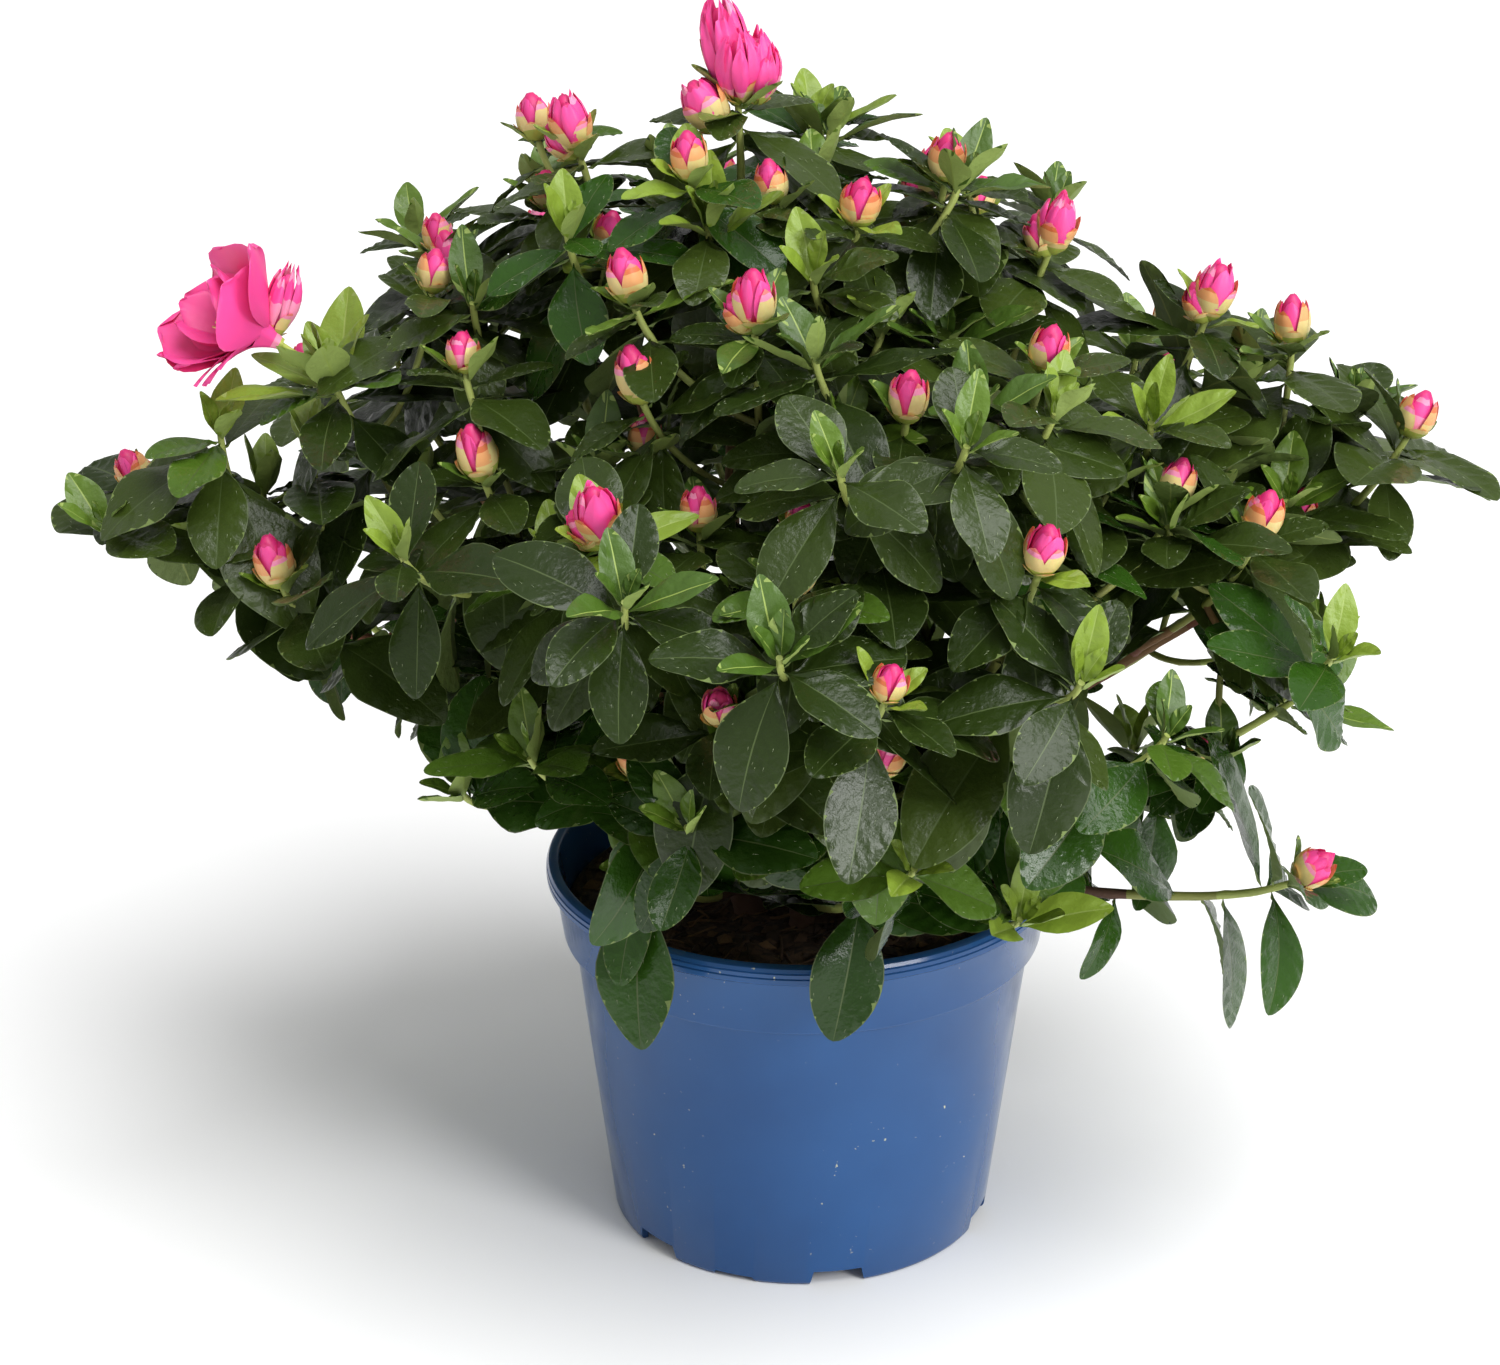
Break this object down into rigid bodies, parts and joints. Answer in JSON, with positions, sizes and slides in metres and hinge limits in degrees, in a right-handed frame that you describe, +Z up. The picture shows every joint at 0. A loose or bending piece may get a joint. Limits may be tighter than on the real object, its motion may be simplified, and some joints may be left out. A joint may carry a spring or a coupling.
{
  "type": "azalea shrub",
  "caption": "Potted evergreen azalea shrub with woody stems, leafy shoots, pink flower buds and one open pink flower in a round blue plastic pot.",
  "frame": {"origin": "centre of the pot's underside, on the surface that the pot stands on", "axes": "+Z up along the pot's axis, -Y towards the front as pictured, +X to the viewer's right"},
  "size_m": [0.4703, 0.4076, 0.4198],
  "materials": {
    "pot": "satin mid-blue moulded plastic",
    "soil": "rough dark brown fibrous peat",
    "bark": "matt brown bark, greener on young shoots",
    "foliage": "glossy dark green leaves with paler veins, pink buds and one pink flower"
  },
  "bodies": {
    "root": {"pot": "pot", "soil": "soil", "stem_centre": "bark", "stem_left": "bark", "stem_front_left": "bark", "stem_front": "bark", "stem_front_right": "bark", "stem_right": "bark", "stem_low_right": "bark", "stem_back_left": "bark", "stem_back": "bark", "stem_back_right": "bark", "bough_crest_left": "bark", "bough_upper_right": "bark", "bough_front_high": "bark", "bough_flower_shoot": "bark", "bough_upper_left": "bark", "bough_middle_left": "bark", "bough_front_upper": "bark", "bough_right_high": "bark", "bough_right_peak": "bark", "bough_right_arch": "bark", "crest": "foliage", "crest_left": "foliage", "crest_right": "foliage", "crest_back": "foliage", "upper_right": "foliage", "front_high": "foliage", "left_far": "foliage", "flower_shoot": "foliage", "upper_left": "foliage", "left_middle": "foliage", "front_left": "foliage", "middle_left": "foliage", "low_left": "foliage", "low_left_outer": "foliage", "front_middle": "foliage", "low_middle": "foliage", "low_front": "foliage", "rim_front": "foliage", "rim_left": "foliage", "front_right": "foliage", "front_upper": "foliage", "right_middle": "foliage", "low_right_inner": "foliage", "right_tip": "foliage", "right_high": "foliage", "right_peak": "foliage", "right_outer": "foliage", "right_arch": "foliage", "low_right_small": "foliage", "low_right": "foliage", "back_left": "foliage", "back_left_low": "foliage", "back_left_high": "foliage", "back": "foliage", "back_low": "foliage", "back_right": "foliage", "back_right_low": "foliage", "back_right_high": "foliage"}
  },
  "joints": []
}
